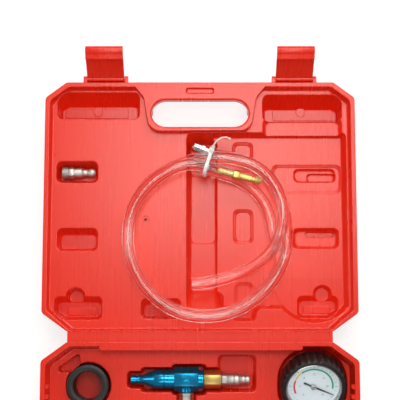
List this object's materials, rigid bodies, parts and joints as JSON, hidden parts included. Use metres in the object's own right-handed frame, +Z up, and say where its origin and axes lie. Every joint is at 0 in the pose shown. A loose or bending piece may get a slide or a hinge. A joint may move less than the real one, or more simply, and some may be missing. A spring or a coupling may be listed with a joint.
{
  "type": "coolant refill kit in a moulded case",
  "caption": "Vacuum coolant refill kit: venturi unit, gauge, radiator adapter, rubber sleeves and clear hoses in a red moulded case, shown open.",
  "frame": {"origin": "centre of the base tray's underside, on the surface that the open case lies on", "axes": "+Z up, +Y from the base tray across the hinge to the lid, +X to the right of someone facing the tray from its handle"},
  "size_m": [0.35, 0.6102, 0.0705],
  "materials": {
    "red_plastic": "blow moulded, fine flow streaks",
    "clear_hose": "clear soft plastic",
    "brass": "turned",
    "chrome": "polished",
    "steel": "turned, plated",
    "blue_anodised": "blue anodised",
    "black_rubber": "matt",
    "white_nylon": "natural nylon",
    "dial_white": "printed",
    "gauge_glass": "clear",
    "needle_black": "matt paint"
  },
  "bodies": {
    "base": {"base_shell": "red_plastic"},
    "lid": {"lid_shell": "red_plastic", "left_latch_pin": "steel", "right_latch_pin": "steel"},
    "left_latch": {"left_latch": "red_plastic"},
    "right_latch": {"right_latch": "red_plastic"},
    "hose_set": {"refill_hose": "clear_hose", "open_hose": "clear_hose", "brass_plug": "brass", "chrome_fitting": "chrome", "cable_tie": "white_nylon"},
    "spare_nipple": {"spare_nipple": "steel"},
    "venturi": {"venturi_body": "blue_anodised", "outlet_nut": "brass", "inlet_nipple": "steel", "port_nipple": "steel"},
    "large_sleeve": {"large_sleeve": "black_rubber"},
    "medium_sleeve": {"medium_sleeve": "black_rubber"},
    "small_sleeve": {"small_sleeve": "black_rubber"},
    "gauge": {"gauge_boot": "black_rubber", "gauge_case": "steel", "gauge_bezel": "chrome", "gauge_glass": "gauge_glass", "gauge_dial": "dial_white", "bourdon_tube": "brass", "gauge_stem": "brass"},
    "needle": {"gauge_needle": "needle_black", "gauge_spindle": "steel"},
    "adapter": {"adapter_cone": "black_rubber", "cone_washer": "steel", "cone_nut": "brass", "valve_body": "brass"},
    "lever": {"valve_ball": "steel", "valve_stem": "steel", "valve_lever": "steel", "lever_nut": "steel"}
  },
  "joints": [
    {"name": "lid_hinge", "type": "hinge", "parent": "base", "child": "lid", "pos_m": [0, 0.14575, 0.04515], "axis": [-1, 0, 0], "range_deg": [-180, 0]},
    {"name": "left_latch_hinge", "type": "hinge", "parent": "lid", "child": "left_latch", "pos_m": [-0.107, 0.43655, 0.04], "axis": [-1, 0, 0], "range_deg": [-40, 50]},
    {"name": "right_latch_hinge", "type": "hinge", "parent": "lid", "child": "right_latch", "pos_m": [0.107, 0.43655, 0.04], "axis": [-1, 0, 0], "range_deg": [-40, 50]},
    {"name": "hose_lift", "type": "slide", "parent": "lid", "child": "hose_set", "axis": [0, 0, 1], "range_m": [0, 0.12]},
    {"name": "nipple_lift", "type": "slide", "parent": "lid", "child": "spare_nipple", "axis": [0, 0, 1], "range_m": [0, 0.12]},
    {"name": "venturi_lift", "type": "slide", "parent": "base", "child": "venturi", "axis": [0, 0, 1], "range_m": [0, 0.12]},
    {"name": "large_sleeve_lift", "type": "slide", "parent": "base", "child": "large_sleeve", "axis": [0, 0, 1], "range_m": [0, 0.12]},
    {"name": "medium_sleeve_lift", "type": "slide", "parent": "base", "child": "medium_sleeve", "axis": [0, 0, 1], "range_m": [0, 0.12]},
    {"name": "small_sleeve_lift", "type": "slide", "parent": "base", "child": "small_sleeve", "axis": [0, 0, 1], "range_m": [0, 0.12]},
    {"name": "gauge_lift", "type": "slide", "parent": "base", "child": "gauge", "axis": [0, 0, 1], "range_m": [0, 0.12]},
    {"name": "adapter_lift", "type": "slide", "parent": "base", "child": "adapter", "axis": [0, 0, 1], "range_m": [0, 0.12]},
    {"name": "needle_turn", "type": "hinge", "parent": "gauge", "child": "needle", "pos_m": [0.1249, 0.08775, 0.0435], "axis": [0, -0.4695, 0.8829], "range_deg": [0, 230]},
    {"name": "lever_turn", "type": "hinge", "parent": "adapter", "child": "lever", "pos_m": [0.127, -0.03505, 0.025], "axis": [0, 0, -1], "range_deg": [0, 90]}
  ]
}
